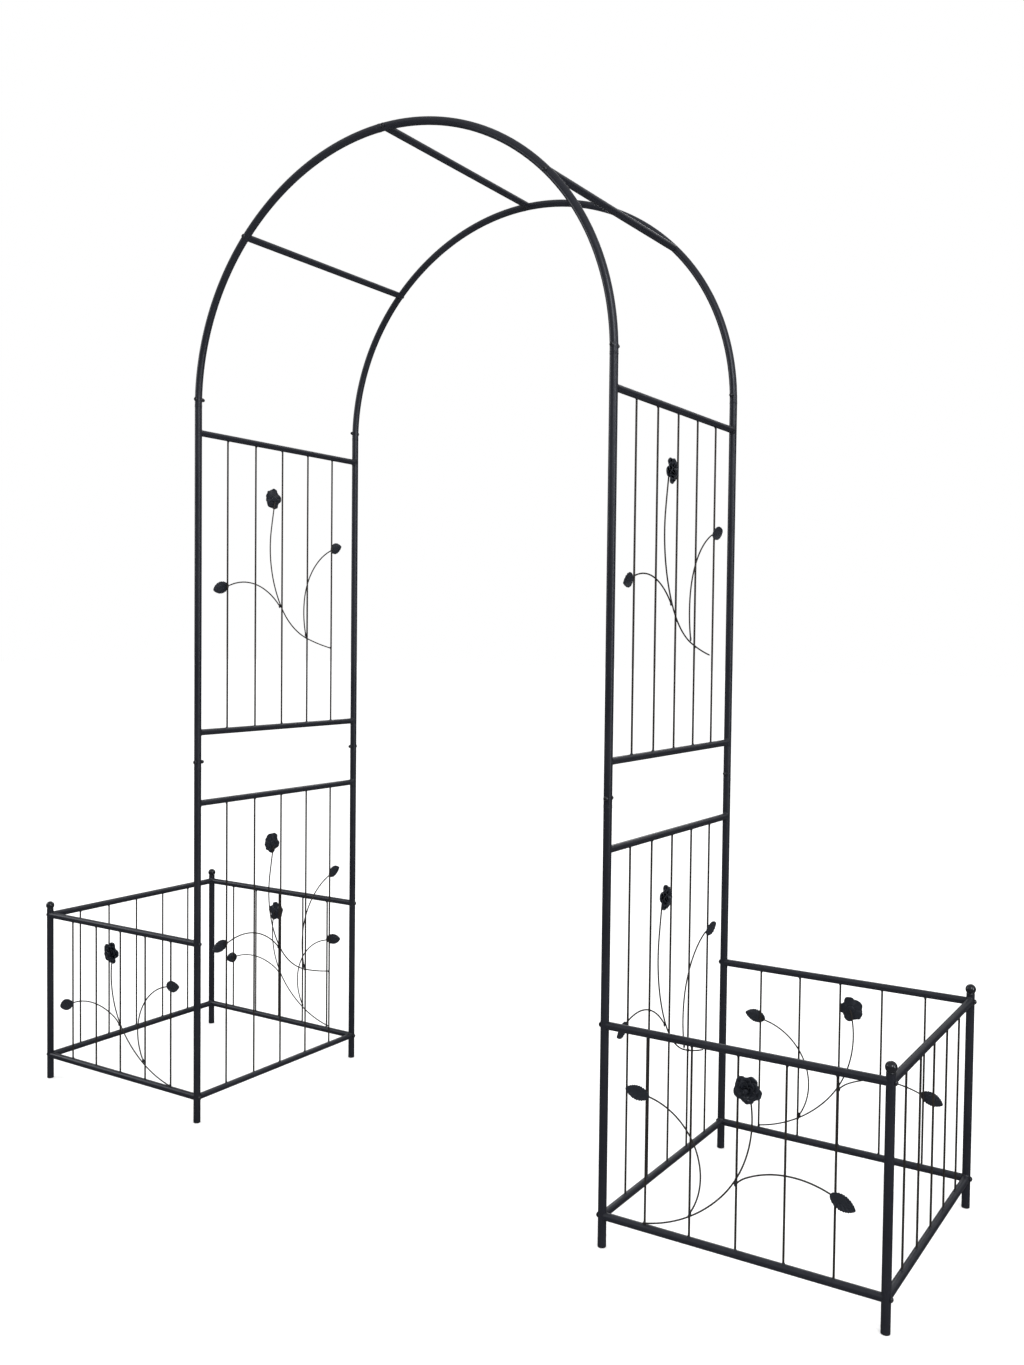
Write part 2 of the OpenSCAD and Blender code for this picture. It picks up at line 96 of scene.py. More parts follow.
def make_camera():
    sin, cos = math.sin, math.cos
    fwd = Vector((-sin(CAM_YAW) * cos(CAM_PITCH), cos(CAM_YAW) * cos(CAM_PITCH), -sin(CAM_PITCH)))
    right0 = Vector((cos(CAM_YAW), sin(CAM_YAW), 0))
    up0 = right0.cross(fwd)
    right = right0 * cos(CAM_ROLL) + up0 * sin(CAM_ROLL)
    up = up0 * cos(CAM_ROLL) - right0 * sin(CAM_ROLL)
    data = bpy.data.cameras.new("camera")
    data.sensor_fit = "VERTICAL"
    data.sensor_height = SENSOR_MM
    data.sensor_width = SENSOR_MM
    data.lens = FOCAL_PX * SENSOR_MM / IMAGE_H_PX
    data.clip_start = 0.05
    data.clip_end = 60
    cam = bpy.data.objects.new("camera", data)
    bpy.context.scene.collection.objects.link(cam)
    m = Matrix((right, up, -fwd)).transposed().to_4x4()
    m.translation = CAM_POS
    cam.matrix_world = m
    bpy.context.scene.camera = cam


make_camera()


# ---------------------------------------------------------------- materials
class Graph:
    """A small helper for one material's nodes."""

    def __init__(self, name):
        self.mat = bpy.data.materials.new(name)
        self.mat.use_nodes = True
        self.tree = self.mat.node_tree
        self.tree.nodes.clear()
        self.out = self.add("ShaderNodeOutputMaterial")
        self.bsdf = self.add("ShaderNodeBsdfPrincipled")
        self.link(self.bsdf.outputs[0], self.out.inputs[0])
        self.coords = self.add("ShaderNodeTexCoord").outputs["Object"]

    def add(self, kind, **settings):
        node = self.tree.nodes.new(kind)
        for k, v in settings.items():
            setattr(node, k, v)
        return node

    def link(self, a, b):
        self.tree.links.new(a, b)

    def noise(self, scale, detail=3.0, rough=0.55, vector=None):
        n = self.add("ShaderNodeTexNoise")
        n.inputs["Scale"].default_value = scale
        n.inputs["Detail"].default_value = detail
        n.inputs["Roughness"].default_value = rough
        self.link(vector or self.coords, n.inputs["Vector"])
        return n.outputs["Fac"]

    def ramp(self, fac, stops):
        r = self.add("ShaderNodeValToRGB")
        while len(r.color_ramp.elements) < len(stops):
            r.color_ramp.elements.new(0.5)
        for e, (pos, col) in zip(r.color_ramp.elements, stops):
            e.position = pos
            e.color = (*col, 1)
        self.link(fac, r.inputs["Fac"])
        return r.outputs["Color"]

    def range(self, fac, lo, hi, from_lo=0.3, from_hi=0.7):
        """Maps a factor to lo..hi; a noise rarely leaves 0.3 to 0.7."""
        m = self.add("ShaderNodeMapRange")
        for k, v in zip(("From Min", "From Max", "To Min", "To Max"), (from_lo, from_hi, lo, hi)):
            m.inputs[k].default_value = v
        self.link(fac, m.inputs["Value"])
        return m.outputs["Result"]

    def mix(self, fac, a, b):
        m = self.add("ShaderNodeMix", data_type="RGBA")
        for value, socket in ((fac, m.inputs[0]), (a, m.inputs[6]), (b, m.inputs[7])):
            if hasattr(value, "is_linked"):
                self.link(value, socket)
            elif isinstance(value, tuple):
                socket.default_value = (*value, 1)
            else:
                socket.default_value = value
        return m.outputs[2]

    def math(self, operation, a, b):
        m = self.add("ShaderNodeMath", operation=operation)
        for value, socket in zip((a, b), m.inputs):
            if hasattr(value, "is_linked"):
                self.link(value, socket)
            else:
                socket.default_value = value
        return m.outputs[0]

    def bump(self, heights):
        """Stacks bumps, each given as (height, strength, distance)."""
        normal = None
        for fac, strength, distance in heights:
            b = self.add("ShaderNodeBump")
            b.inputs["Strength"].default_value = strength
            b.inputs["Distance"].default_value = distance
            self.link(fac, b.inputs["Height"])
            if normal:
                self.link(normal, b.inputs["Normal"])
            normal = b.outputs["Normal"]
        self.link(normal, self.bsdf.inputs["Normal"])

    def set(self, **values):
        for k, v in values.items():
            socket = self.bsdf.inputs[k.replace("_", " ")]
            if hasattr(v, "is_linked"):
                self.link(v, socket)
            else:
                socket.default_value = v


# Painted sheen: the lighter grey laid on upward faces, standing in for the room's reflection off the
# tops.
TOP_SHEEN_GREY = (0.16, 0.165, 0.17)


def coat(name, dark, light, rough, peel=0.10, peel_scale=900, top_sheen=0.0, coat_weight=0.12,
         tint=(0.88, 0.92, 1.0)):
    """Powder coat on steel: orange peel, slow drift of tone and gloss, fine speckle, and a painted
    lighter sheen in patches on upward faces.
    """
    g = Graph(name)
    drift = g.noise(9, 4, 0.6)
    fine = g.noise(420, 2, 0.5)
    tone = g.mix(g.range(drift, 0.0, 1.0), dark, light)
    speck = g.ramp(fine, [(0.0, (0.82,) * 3), (0.5, (1.0,) * 3), (0.72, (1.12,) * 3)])
    col = g.add("ShaderNodeMix", data_type="RGBA", blend_type="MULTIPLY")
    col.inputs[0].default_value = 1
    g.link(tone, col.inputs[6])
    g.link(speck, col.inputs[7])
    colour = col.outputs[2]
    # Painted sheen: lighter grey in patches on faces that point up, standing in for the reflection of
    # the room above.
    if top_sheen:
        geo = g.add("ShaderNodeNewGeometry")
        sep = g.add("ShaderNodeSeparateXYZ")
        g.link(geo.outputs["Normal"], sep.inputs[0])
        up = g.range(sep.outputs["Z"], 0, 1, 0.25, 0.95)
        patch = g.range(g.noise(38, 5, 0.65), 0, 1, 0.35, 0.75)
        sheen_amount = g.math("MULTIPLY", g.math("MULTIPLY", up, patch), top_sheen)
        colour = g.mix(sheen_amount, colour, TOP_SHEEN_GREY)
    g.set(Base_Color=colour, Roughness=g.range(drift, *rough), Specular_IOR_Level=0.45,
          Specular_Tint=(*tint, 1), Coat_Weight=coat_weight, Coat_Roughness=0.3)
    g.bump([(g.noise(peel_scale, 2, 0.5), peel, 0.0006), (g.noise(160, 3, 0.5), peel * 0.6, 0.0008)])
    return g.mat


# Each coating's darkest and lightest colour, its range of roughness, and what differs from plain coat
COATS = {
    # The powder coat carries a painted lighter sheen on its upward faces.
    "powder_coat": ((0.0082, 0.0088, 0.0128), (0.0120, 0.0129, 0.0180), (0.31, 0.41),
                    dict(top_sheen=0.10, coat_weight=0.06)),
    "wire_coat": ((0.0098, 0.0082, 0.0076), (0.0150, 0.0126, 0.0112), (0.42, 0.55),
                  dict(peel=0.08, tint=(1.0, 0.92, 0.86))),
    "rose_coat": ((0.0104, 0.0120, 0.0162), (0.0150, 0.0170, 0.0222), (0.24, 0.36),
                  dict(peel=0.14, peel_scale=1100, coat_weight=0.10)),
    "finial_coat": ((0.0070, 0.0074, 0.0092), (0.0102, 0.0108, 0.0132), (0.12, 0.20),
                    dict(peel=0.08, coat_weight=0.25)),
    "foot_cap": ((0.0076, 0.0084, 0.0108), (0.0150, 0.0155, 0.0175), (0.40, 0.58), dict(peel=0.16)),
    "fastener": ((0.0092, 0.0095, 0.0118), (0.0150, 0.0152, 0.0178), (0.26, 0.40),
                 dict(peel=0.06, coat_weight=0.15)),
    "inner_steel": ((0.030, 0.030, 0.033), (0.050, 0.050, 0.055), (0.45, 0.6), dict(peel=0.05)),
    "weld_coat": ((0.0084, 0.0092, 0.0122), (0.0130, 0.0140, 0.0175), (0.32, 0.48),
                  dict(peel=0.26, peel_scale=520, coat_weight=0.10)),
}
MATS = {}
for name, (dark, light, rough, other) in COATS.items():
    MATS[name] = coat(name, dark, light, rough, **other)

for entry in frame["record"]["subparts"]:
    node = frame["nodes"][entry["node"]]
    for i in range(len(node.material_slots)):
        node.material_slots[i].material = MATS[entry["material_slot"]]


# ---------------------------------------------------------------- mesh helpers
def polar(r, a, z=0.0):
    """The point at a radius, an angle and a height."""
    return Vector((r * math.cos(a), r * math.sin(a), z))


def piece(name, soup, material, replaces=()):
    """Makes one smooth object of a soup's shells, riding on the fixed frame."""
    mesh = bpy.data.meshes.new(name)
    mesh.from_pydata([tuple(v) for v in soup.v], [], soup.f)
    mesh.validate()
    bm = bmesh.new()
    bm.from_mesh(mesh)
    bmesh.ops.recalc_face_normals(bm, faces=bm.faces)
    bm.to_mesh(mesh)
    bm.free()
    mesh.polygons.foreach_set("use_smooth", [True] * len(mesh.polygons))
    mesh.materials.append(MATS[material])
    obj = bpy.data.objects.new(name, mesh)
    bpy.context.scene.collection.objects.link(obj)
    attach(obj, "root")
    if replaces:
        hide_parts(*replaces)


class Soup:
    """Vertices and faces gathered from many small closed shells."""

    def __init__(self):
        self.v, self.f = [], []

    def add(self, verts, faces, matrix=None):
        base = len(self.v)
        self.v += [matrix @ Vector(p) if matrix else Vector(p) for p in verts]
        self.f += [tuple(base + i for i in face) for face in faces]

    def rings(self, rings, matrix=None, caps=True):
        """Skins equal closed rings of points, with a cap at each end or joined end to end."""
        n, k = len(rings), len(rings[0])
        verts = [p for ring in rings for p in ring]
        faces = []
        for i in range(n if not caps else n - 1):
            j = (i + 1) % n
            for a in range(k):
                b = (a + 1) % k
                faces.append((i * k + a, i * k + b, j * k + b, j * k + a))
        if caps:
            faces.append(tuple(range(k)))
            faces.append(tuple((n - 1) * k + a for a in reversed(range(k))))
        self.add(verts, faces, matrix)

    def lathe(self, profile, matrix=None, n=40):
        """Turns a profile of (radius, height) round Z; a radius of 0 at an end closes to a point."""
        verts, faces, rows = [], [], []
        for r, h in profile:
            if r < 1e-7:
                rows.append([len(verts)])
                verts.append((0, 0, h))
            else:
                rows.append(list(range(len(verts), len(verts) + n)))
                angles = [math.tau * i / n for i in range(n)]
                verts += [(r * math.cos(a), r * math.sin(a), h) for a in angles]
        for a, b in zip(rows, rows[1:]):
            for i in range(n):
                j = (i + 1) % n
                quad = [a[i % len(a)], a[j % len(a)], b[j % len(b)], b[i % len(b)]]
                face = [q for k, q in enumerate(quad) if q not in quad[:k]]
                if len(face) > 2:
                    faces.append(tuple(face))
        for row, flip in ((rows[0], True), (rows[-1], False)):
            if len(row) > 1:
                faces.append(tuple(reversed(row)) if flip else tuple(row))
        self.add(verts, faces, matrix)


def side_frame(sx, low):
    """Plane of a ladder's ornament: local x runs to the back, y up and z outward."""
    return Matrix(((0, 0, sx, sx * SPAN / 2), (1, 0, 0, LADDER_SHIFT[sx] * MM), (0, 1, 0, low),
                   (0, 0, 0, 1)))


def planter_frame(sx, sy):
    """Plane of a planter panel's ornament: local x runs towards the arch, y up and z outward."""
    return Matrix(((-sx, 0, 0, sx * (SPAN + PLANTER) / 2), (0, 0, sy, sy * DEPTH / 2),
                   (0, 1, 0, RAIL_LOW), (0, 0, 0, 1)))


ORNAMENTS = [
    (f"ladder_{level}_{side}", side_frame(sx, low), LADDER_RODS, LADDER_ROSE, LADDER_LEAVES)
    for sx, side in SIDES for low, level in zip(LADDER_LOWS, ("lower", "upper"))
] + [
    (f"planter_{end}_{side}", planter_frame(sx, sy), PLANTER_RODS, PLANTER_ROSE, PLANTER_LEAVES)
    for sx, side in SIDES for sy, end in ((-1, "front"), (1, "back"))
]


# ---------------------------------------------------------------- rose leaves
LEAF_L, LEAF_W, LEAF_T = 0.047, 0.027, 0.0009
LEAF_SUNK = 0.0001
LEAF_TEETH = 10
TEETH_SWEEP = 0.0018
LEAF_CUP, LEAF_CURL = 0.0026, 0.0034
RIB_H, VEIN_H = 0.0007, 0.00042
VEIN_PAIRS = 6.0


def leaf_point(t, s, lift):
    """A point of the pressed leaf: t runs from base to tip, s from -1 to 1 across."""
    along = math.sin(math.pi * t)
    half = LEAF_W / 2 * math.sin(math.pi * t ** 0.84) ** 0.68
    tooth = math.sin(math.pi * ((t * (LEAF_TEETH + 1)) % 1.0) ** 1.7)
    edge = 0.95 + (0.085 + 0.05 * math.exp(-(t * 3.2) ** 2)) * tooth * abs(s) ** 4
    x = t * LEAF_L + abs(s) ** 3 * TEETH_SWEEP * along
    y = s * half * edge
    cup = LEAF_CUP * (abs(s) ** 1.6) * along ** 0.7
    vein = VEIN_H * math.sin((t * VEIN_PAIRS - abs(s) * 1.5) * math.tau) * along * min(1, abs(s) * 4)
    rib = RIB_H * math.exp(-(s * 6) ** 2) * (1 - t * 0.5)
    curl = LEAF_CURL * t ** 2.4
    return Vector((x, y, cup + vein + rib + curl + lift))


def leaf_mesh(soup, matrix):
    nt, ns = 80, 14
    rings = []
    for i in range(nt + 1):
        top, low = ([leaf_point(i / nt, -1 + 2 * j / ns, lift) for j in range(ns + 1)]
                    for lift in (LEAF_T, 0.0))
        rings.append(top + list(reversed(low)))
    soup.rings(rings, matrix)


def make_leaves():
    for _, side in SIDES:
        soup = Soup()
        for name, m, _, _, leaves in ORNAMENTS:
            if not name.endswith(side):
                continue
            for k, (x, y, turn) in enumerate(leaves):
                tilt = 4 * math.sin(2.3 * k + 1.7 * len(name))
                local = Matrix.Translation((x * MM, y * MM, ROSE_OUT - LEAF_SUNK))
                local = local @ Matrix.Rotation(math.radians(turn), 4, "Z")
                local = local @ Matrix.Rotation(math.radians(tilt), 4, "X")
                leaf_mesh(soup, m @ local)
        piece(f"pressed_leaves_{side}", soup, "rose_coat", [f"rose_leaves_{side}"])


# ---------------------------------------------------------------- roses
PETAL_T = 0.0009
PIN_R = 0.0021
LIP_FROM = 0.66
RIPPLE, CREASE = 0.0005, 0.0004

# Stamped stars from the outside in: turn in degrees, petals, then in metres the radius of the
# petals' centres, a petal's radius, the foot's height, rise to the rim, cupped sides, rolled lip.
OUTER_STARS = (
    (0, 5, 0.0148, 0.0114, 0.0016, 0.0036, 0.0012, 0.0018),
    (36, 5, 0.0126, 0.0100, 0.0029, 0.0052, 0.0014, 0.0020),
)
INNER_STARS = (
    (14, 5, 0.0092, 0.0078, 0.0041, 0.0062, 0.0012, 0.0016),
    (55, 4, 0.0064, 0.0062, 0.0052, 0.0068, 0.0008, 0.0010),
    (20, 3, 0.0038, 0.0046, 0.0062, 0.0072, 0.0004, 0.0006),
)
# The calyx behind the petals and the pin that carries the heart, as (radius, height)
CALYX = (
    (0.0, 0.0), (0.0062, 0.0), (0.0074, 0.0005), (0.0075, 0.0011), (0.0060, 0.0016), (0.0030, 0.0019),
    (PIN_R, 0.0026), (PIN_R, 0.0085), (0.0030, 0.0100), (0.0038, 0.0118), (0.0040, 0.0134),
    (0.0034, 0.0148), (0.0020, 0.0155), (0.0, 0.0157),
)
HEART_TURNS, HEART_STEPS = 1.6, 44
HEART_HALF_T, HEART_FLARE = 0.00035, 0.0009


def star(soup, matrix, lobes, centre, lobe_r, z0, rise, cup, roll, seed):
    """A stamped star of round petals, dished upward; lips and lift vary from petal to petal."""
    rng = random.Random(seed)
    vary = [(rng.uniform(-1, 1), rng.uniform(-1, 1), rng.uniform(0, math.tau)) for _ in range(lobes)]
    nr, per_lobe = 13, 20
    half = math.pi / lobes
    rings = []
    for k in range(lobes * per_lobe):
        lobe, part = divmod(k, per_lobe)
        delta = (part / per_lobe * 2 - 1) * half
        side = delta / half
        reach_vary, lift_vary, phase = vary[lobe]
        keep = math.cos(side * math.pi / 2)
        rim = centre * math.cos(delta)
        rim += math.sqrt(max(0.0, lobe_r ** 2 - (centre * math.sin(delta)) ** 2))
        rim *= (1 + keep * (0.035 * reach_vary + 0.018 * math.sin(side * 7 + phase))
                - 0.03 * math.exp(-(side * 5) ** 2))
        top, low = [], []
        for i in range(nr + 1):
            t = i / nr
            r = PIN_R + (rim - PIN_R) * t
            lip = max(0.0, (t - LIP_FROM) / (1 - LIP_FROM))
            z = z0 + rise * t ** 1.5 * (1 + 0.12 * lift_vary * keep) + cup * side * side * t ** 1.3
            z += -roll * lip ** 2 * keep + RIPPLE * keep * math.sin(side * 5 + phase) * t
            z += CREASE * math.exp(-(side * 7) ** 2) * math.sin(math.pi * t)
            a = math.tau * k / (lobes * per_lobe)
            top.append(polar(r, a, z + PETAL_T * (1 + 0.5 * lip)))
            low.append(polar(r, a, z))
        rings.append(top + list(reversed(low)))
    soup.rings(rings, matrix, caps=False)


def heart(soup, matrix):
    """The rolled strip in the middle of a rose: a widening spiral with its top flared outward."""
    rings = []
    for i in range(HEART_STEPS + 1):
        t = i / HEART_STEPS
        a = t * HEART_TURNS * math.tau
        r = 0.0010 + 0.0036 * t
        low, high = 0.0085, 0.0172 - 0.0030 * t
        rings.append([polar(r - HEART_HALF_T, a, low), polar(r + HEART_HALF_T, a, low),
                      polar(r + HEART_HALF_T + HEART_FLARE, a, high),
                      polar(r - HEART_HALF_T + HEART_FLARE, a, high)])
    soup.rings(rings, matrix)


def make_roses():
    outer, inner, bud = Soup(), Soup(), Soup()
    for k, (_, m, _, (x, y), _) in enumerate(ORNAMENTS):
        turn = 18 + 23 * k
        base = m @ Matrix.Translation((x * MM, y * MM, ROSE_OUT))
        base = base @ Matrix.Rotation(math.radians(turn), 4, "Z")
        for soup, stars in ((outer, OUTER_STARS), (inner, INNER_STARS)):
            for offset, *shape in stars:
                at = base @ Matrix.Rotation(math.radians(offset), 4, "Z")
                star(soup, at, *shape, seed=turn * 10 + offset)
        bud.lathe(CALYX, base, 28)
        heart(inner, base)
    piece("pressed_outer_petals", outer, "rose_coat", ["rose_outer_petals"])
    piece("pressed_inner_petals", inner, "rose_coat", ["rose_inner_petals"])
    piece("rose_hearts", bud, "rose_coat", ["rose_buds"])


# ---------------------------------------------------------------- stems
def rod_path(rod, step=0.004):
    """Points, in metres, along a chain of bends in the panel's plane, with the heading at each."""
    (x, y), heading, bends = rod
    p, h = Vector((x * MM, y * MM)), math.radians(heading)
    points = [(p.copy(), h)]
    for r, turn in bends:
        length = r * MM * math.radians(abs(turn))
        n = max(2, int(length / step))
        dh = math.radians(turn) / n
        for _ in range(n):
            chord = 2 * r * MM * math.sin(abs(dh) / 2)
            p = p + Vector((math.cos(h + dh / 2), math.sin(h + dh / 2))) * chord
            h += dh
            points.append((p.copy(), h))
    return points


def stem_rings(points, sides=12):
    """Round sections along a rod, with its two ends drawn in a little."""
    rings = []
    last = len(points) - 1
    outward = Vector((0, 0, 1))
    for i, (p, h) in enumerate(points):
        across = Vector((-math.sin(h), math.cos(h), 0))
        centre = Vector((p.x, p.y, STEM_OUT))
        r = STEM_R * (0.7 if i in (0, last) else 1.0)
        rings.append([centre + (across * math.cos(a) + outward * math.sin(a)) * r
                      for a in (math.tau * k / sides for k in range(sides))])
    return rings


# Half sizes of the weld nubs where a stem crosses a wire and where a side stem meets the main one
WIRE_NUB, WIRE_NUB_OUT = (0.0026, 0.0030, 0.0020), 0.0019
FORK_NUB, FORK_NUB_IN = (0.0029, 0.0052, 0.0017), 0.004


def blob(soup, matrix, centre, size, seed):
    """A small weld nub: a lumpy ball, squashed along the panel's normal."""
    rng = random.Random(seed)
    lumps = [(rng.uniform(0, math.tau), rng.uniform(0.04, 0.12)) for _ in range(3)]
    rows, n = 8, 14
    rings = []
    for i in range(1, rows):
        lat = math.pi * i / rows
        ring = []
        for k in range(n):
            a = math.tau * k / n
            swell = 1 + sum(w * math.sin((j + 2) * a + ph) for j, (ph, w) in enumerate(lumps))
            r = math.sin(lat) * swell
            ring.append(Vector(centre) + Vector((size[0] * r * math.cos(a), size[1] * math.cos(lat),
                                                 size[2] * r * math.sin(a))))
        rings.append(ring)
    soup.rings(rings, matrix)


def crossing_welds(soup, matrix, points, pitch, shift):
    """A nub at each place where the main stem crosses a wire."""
    for (p, _), (q, _) in zip(points, points[1:]):
        for w in range(-(WIRES // 2), WIRES // 2 + 1):
            x = w * pitch - shift
            if (p.x - x) * (q.x - x) <= 0 and p.x != q.x:
                at = p.lerp(q, (x - p.x) / (q.x - p.x))
                blob(soup, matrix, (at.x, at.y, WIRE_NUB_OUT), WIRE_NUB, w * 7)


def make_stems():
    for sx, side in SIDES:
        for kind, width, shift in (("ladder", DEPTH, LADDER_SHIFT[sx] * MM), ("planter", PLANTER, 0)):
            soup, welds = Soup(), Soup()
            for name, m, rods, _, _ in ORNAMENTS:
                if not (name.endswith(side) and name.startswith(kind)):
                    continue
                for j, rod in enumerate(rods):
                    points = rod_path(rod)
                    soup.rings(stem_rings(points), m)
                    if j == 0:
                        crossing_welds(welds, m, points, width / (WIRES + 1), shift)
                    else:
                        p, h = points[0]
                        centre = (p.x + FORK_NUB_IN * math.cos(h), p.y + FORK_NUB_IN * math.sin(h),
                                  STEM_OUT)
                        blob(welds, m, centre, FORK_NUB, j * 3 + 1)
            piece(f"bent_stems_{kind}_{side}", soup, "wire_coat",
                  [f"{kind}_rose_stems_{side}"])
            piece(f"stem_welds_{kind}_{side}", welds, "weld_coat")


# ---------------------------------------------------------------- welds
# A fillet weld's legs and root; its toe on the bar is sunk, and the one on the post turns in
FILLET, FILLET_ROOT = 0.0032, 0.0012
BAR_TOE_SUNK = 0.0002
POST_TOE_PROUD, POST_TOE_TURN = 0.00005, 0.0003
# A wire's weld collar: height and flare at full size, and how deep its foot is in the bar
COLLAR_H, COLLAR_FLARE, COLLAR_SUNK = 0.0042, 0.0019, 0.0003


def on_post(r, a):
    """The point of a post's face that is r from a bar's axis, at the angle a round that axis."""
    h = math.copysign(min(abs(r * math.cos(a)), TUBE_R * 0.985), math.cos(a))
    return Vector((math.sqrt(TUBE_R ** 2 - h * h), h, r * math.sin(a)))


def saddle_weld(soup, matrix, bar_r, seed, n=56):
    """Fillet weld where a bar (along local +X) meets a round post (along local Z) at the origin."""
    phase = random.Random(seed).uniform(0, math.tau)
    along = Vector((1, 0, 0))
    rings = []
    for k in range(n):
        a = math.tau * k / n
        w = FILLET * (1 + 0.10 * math.sin(13 * a + phase) + 0.06 * math.sin(5 * a + 2 * phase))
        radial = Vector((0, math.cos(a), math.sin(a)))
        corner = on_post(bar_r, a)
        toe_post = on_post(bar_r + w, a) + along * POST_TOE_PROUD
        toe_bar = corner + along * w
        belly = (toe_post + toe_bar + corner * 0.9) / 2.9
        swell = (belly - corner) * 0.05
        rings.append([toe_bar - radial * BAR_TOE_SUNK, toe_bar.lerp(belly, 0.52) + swell, belly,
                      toe_post.lerp(belly, 0.52) + swell, toe_post - along * POST_TOE_TURN,
                      corner - (radial + along) * FILLET_ROOT])
    soup.rings(rings, matrix, caps=False)


def wire_weld(soup, matrix, bar_r, seed):
    """Weld collar at a wire's foot: a bar lies along local X, and the wire leaves it along +Z."""
    rng = random.Random(seed)
    lean = rng.uniform(-0.9, 0.9) + (math.pi if rng.random() < 0.6 else 0)
    size = rng.uniform(0.55, 0.85)
    n = 20
    rings = []
    for t in (0.0, 0.18, 0.4, 0.65, 0.85, 1.0):
        ring = []
        for k in range(n):
            a = math.tau * k / n
            big = (1 + 0.55 * math.cos(a - lean)) * size
            r = WIRE_R * 0.98 + COLLAR_FLARE * big * (1 - t) ** 2.1
            x, y = r * math.cos(a), r * math.sin(a)
            foot = math.sqrt(max(bar_r ** 2 - y * y, 0)) - COLLAR_SUNK
            ring.append((x, y, foot + COLLAR_H * big * t))
        rings.append(ring)
    soup.rings(rings, matrix)


def basis(x, z, at):
    """A matrix with local X and Z along the given directions and its zero at a point."""
    x, z = Vector(x).normalized(), Vector(z).normalized()
    y = z.cross(x)
    m = Matrix((x, y, z)).transposed().to_4x4()
    m.translation = Vector(at)
    return m


def make_welds():
    bars, wires = Soup(), Soup()
    seed = 0

    def wire_ends(x, y, bar_axis, low, high, bar_r, seed):
        """The collars at both ends of an upright wire between two bars."""
        wire_weld(wires, basis(bar_axis, (0, 0, 1), (x, y, low)), bar_r, seed)
        wire_weld(wires, basis(bar_axis, (0, 0, -1), (x, y, high)), bar_r, seed + 1)

    for sx, _ in SIDES:
        xi, xo = sx * SPAN / 2, sx * (SPAN / 2 + PLANTER)
        bar_ends = [(xi, z, BAR_R) for low in LADDER_LOWS for z in (low, low + LADDER)]
        bar_ends += [(xo, z, RAIL_R) for z in (RAIL_LOW, RAIL_HIGH)]
        for sy in (-1, 1):
            for x, z, r in bar_ends:
                seed += 1
                saddle_weld(bars, basis((0, -sy, 0), (0, 0, 1), (x, sy * DEPTH / 2, z)), r, seed)
        for i in range(WIRES):
            k = i - (WIRES - 1) / 2
            y = k * DEPTH / (WIRES + 1)
            for low in LADDER_LOWS:
                seed += 2
                wire_ends(xi, y, (0, 1, 0), low, low + LADDER, BAR_R, seed)
            seed += 2
            wire_ends(xo, y, (0, 1, 0), RAIL_LOW, RAIL_HIGH, RAIL_R, seed)
            for sy in (-1, 1):
                x = sx * (SPAN / 2 + PLANTER / 2) + k * PLANTER / (WIRES + 1)
                seed += 2
                wire_ends(x, sy * DEPTH / 2, (1, 0, 0), RAIL_LOW, RAIL_HIGH, RAIL_R, seed)
    piece("bar_welds", bars, "weld_coat")
    piece("wire_welds", wires, "weld_coat")


# ---------------------------------------------------------------- seams, finials
# Section of the rolled tube ends at a joint, as (proud of the tube, along the tube)
SEAM = (
    (-0.0004, -0.0030), (0.00010, -0.0028), (0.00035, -0.0021), (0.00040, -0.0013),
    (0.00020, -0.0007), (-0.0003, -0.0004), (-0.0003, 0.0004), (0.00015, 0.0007),
    (0.00030, 0.0012), (0.00025, 0.0019), (0.0001, 0.0024), (-0.0004, 0.0026),
)
# Plug and collar of a finial, as (radius, height over the post), up to where its ball begins
COLLAR = (
    (0.0067, -0.012), (0.0067, 0.0), (0.0077, 0.0), (0.0080, 0.0003), (0.0081, 0.0009),
    (0.0080, 0.0015), (0.0075, 0.0020), (0.0068, 0.0022),
)
BALL_R, BALL_Z = 0.0100, 0.0095


def seam_ring(soup, matrix, n=48):
    rings = [[polar(TUBE_R + d, math.tau * k / n, h) for d, h in SEAM] for k in range(n)]
    soup.rings(rings, matrix, caps=False)


def make_seams():
    soup = Soup()
    for sy in (-1, 1):
        y = sy * DEPTH / 2
        for sx, _ in SIDES:
            for z in (POST_SEAM, SPRING):
                seam_ring(soup, Matrix.Translation((sx * SPAN / 2, y, z)))
        a = math.pi / 2 + APEX_SEAM_TURN
        at = (CROWN_R * math.cos(a), y, CROWN_Z + CROWN_R * math.sin(a))
        seam_ring(soup, basis((0, 1, 0), (-math.sin(a), 0, math.cos(a)), at))
    piece("joint_rims", soup, "powder_coat")


def make_finials():
    soup = Soup()
    profile = list(COLLAR)
    start = math.acos(COLLAR[-1][0] / BALL_R)
    steps = 26
    for i in range(1, steps + 1):
        a = -start + (math.pi / 2 + start) * i / steps
        profile.append((BALL_R * math.cos(a) if i < steps else 0.0, BALL_Z + BALL_R * math.sin(a)))
    for sx, _ in SIDES:
        for sy in (-1, 1):
            at = (sx * (SPAN / 2 + PLANTER), sy * DEPTH / 2, CORNER_TOP)
            soup.lathe(profile, Matrix.Translation(at), 48)
    piece("turned_finials", soup, "finial_coat", ["ball_finials"])


make_leaves()
make_roses()
make_stems()
make_welds()
make_seams()
make_finials()


# ---------------------------------------------------------------- floor and light
FLOOR_HALF = 40
FLOOR_GREY = 0.90
# A faint glow keeps the far floor as white as the room.
FLOOR_GLOW = 0.12
# The white that the room lights with, and what a reflection sees of it from straight down to up
ROOM = 1.16
MIRRORED = ((0.0, 0.14), (0.38, 0.07), (0.48, 0.035), (0.585, 0.05), (0.67, 0.40), (0.80, 0.52),
            (0.90, 0.36), (1.0, 0.42))
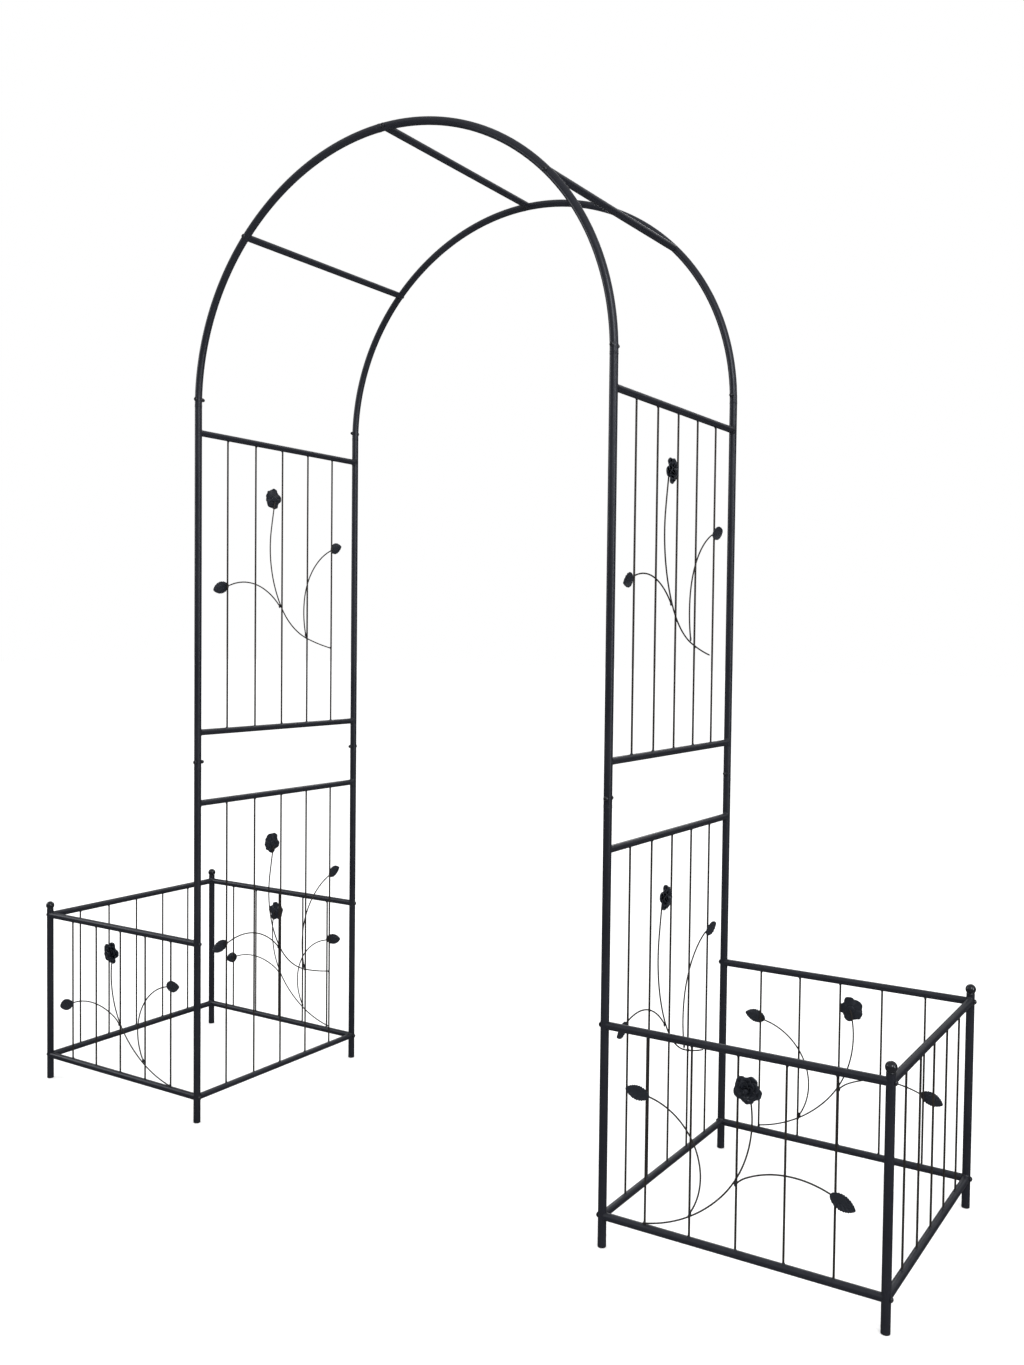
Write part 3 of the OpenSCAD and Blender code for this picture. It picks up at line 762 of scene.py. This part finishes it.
# Soft boxes, as place, the point they face, size and power in watts
LIGHTS = {
    "key": ((3.6, -3.1, 3.6), (0, 0, 1.1), (1.5, 1.5), 75),
    "fill": ((-4.2, -1.8, 2.3), (0, 0, 1.0), (1.3, 1.5), 26),
    "strip": ((4.6, -0.6, 1.7), (0, 0, 1.3), (0.45, 2.4), 40),
    "back": ((-1.5, 4.0, 3.4), (0, 0, 1.2), (2.4, 1.8), 30),
}


def make_floor():
    mesh = bpy.data.meshes.new("floor")
    h = FLOOR_HALF
    mesh.from_pydata([(-h, -h, 0), (h, -h, 0), (h, h, 0), (-h, h, 0)], [], [(0, 1, 2, 3)])
    obj = bpy.data.objects.new("floor", mesh)
    bpy.context.scene.collection.objects.link(obj)
    g = Graph("floor")
    g.set(Base_Color=(FLOOR_GREY, FLOOR_GREY, FLOOR_GREY, 1), Roughness=0.9, Specular_IOR_Level=0.0,
          Emission_Color=(1, 1, 1, 1), Emission_Strength=FLOOR_GLOW)
    mesh.materials.append(g.mat)
    obj.visible_glossy = False


def area(name, at, target, size, power):
    data = bpy.data.lights.new(name, "AREA")
    data.shape = "RECTANGLE"
    data.size, data.size_y = size
    data.energy = power
    obj = bpy.data.objects.new(name, data)
    bpy.context.scene.collection.objects.link(obj)
    obj.location = at
    obj.rotation_euler = (Vector(target) - Vector(at)).to_track_quat("-Z", "Y").to_euler()


def make_light():
    """A white room, plain to the eye and dimmer where the coating mirrors it, with soft boxes."""
    world = bpy.data.worlds.new("world")
    bpy.context.scene.world = world
    world.use_nodes = True
    tree = world.node_tree
    bg = tree.nodes["Background"]
    path = tree.nodes.new("ShaderNodeLightPath")
    coords = tree.nodes.new("ShaderNodeTexCoord")
    sep = tree.nodes.new("ShaderNodeSeparateXYZ")
    tree.links.new(coords.outputs["Generated"], sep.inputs[0])
    height = tree.nodes.new("ShaderNodeMapRange")
    for k, v in zip(("From Min", "From Max", "To Min", "To Max"), (-1, 1, 0, 1)):
        height.inputs[k].default_value = v
    tree.links.new(sep.outputs["Z"], height.inputs["Value"])
    ramp = tree.nodes.new("ShaderNodeValToRGB")
    while len(ramp.color_ramp.elements) < len(MIRRORED):
        ramp.color_ramp.elements.new(0.5)
    for e, (pos, v) in zip(ramp.color_ramp.elements, MIRRORED):
        e.position = pos
        e.color = (v, v, v, 1)
    tree.links.new(height.outputs["Result"], ramp.inputs["Fac"])
    to_eye, to_gloss = (tree.nodes.new("ShaderNodeMix") for _ in range(2))
    to_eye.data_type = to_gloss.data_type = "RGBA"
    tree.links.new(path.outputs["Is Camera Ray"], to_eye.inputs[0])
    to_eye.inputs[6].default_value = (ROOM, ROOM, ROOM, 1)
    to_eye.inputs[7].default_value = (1, 1, 1, 1)
    tree.links.new(path.outputs["Is Glossy Ray"], to_gloss.inputs[0])
    tree.links.new(to_eye.outputs[2], to_gloss.inputs[6])
    tree.links.new(ramp.outputs["Color"], to_gloss.inputs[7])
    tree.links.new(to_gloss.outputs[2], bg.inputs["Color"])
    bg.inputs["Strength"].default_value = 1.0
    for name, settings in LIGHTS.items():
        area(name, *settings)
    bpy.context.scene.view_settings.view_transform = "Standard"


make_floor()
make_light()
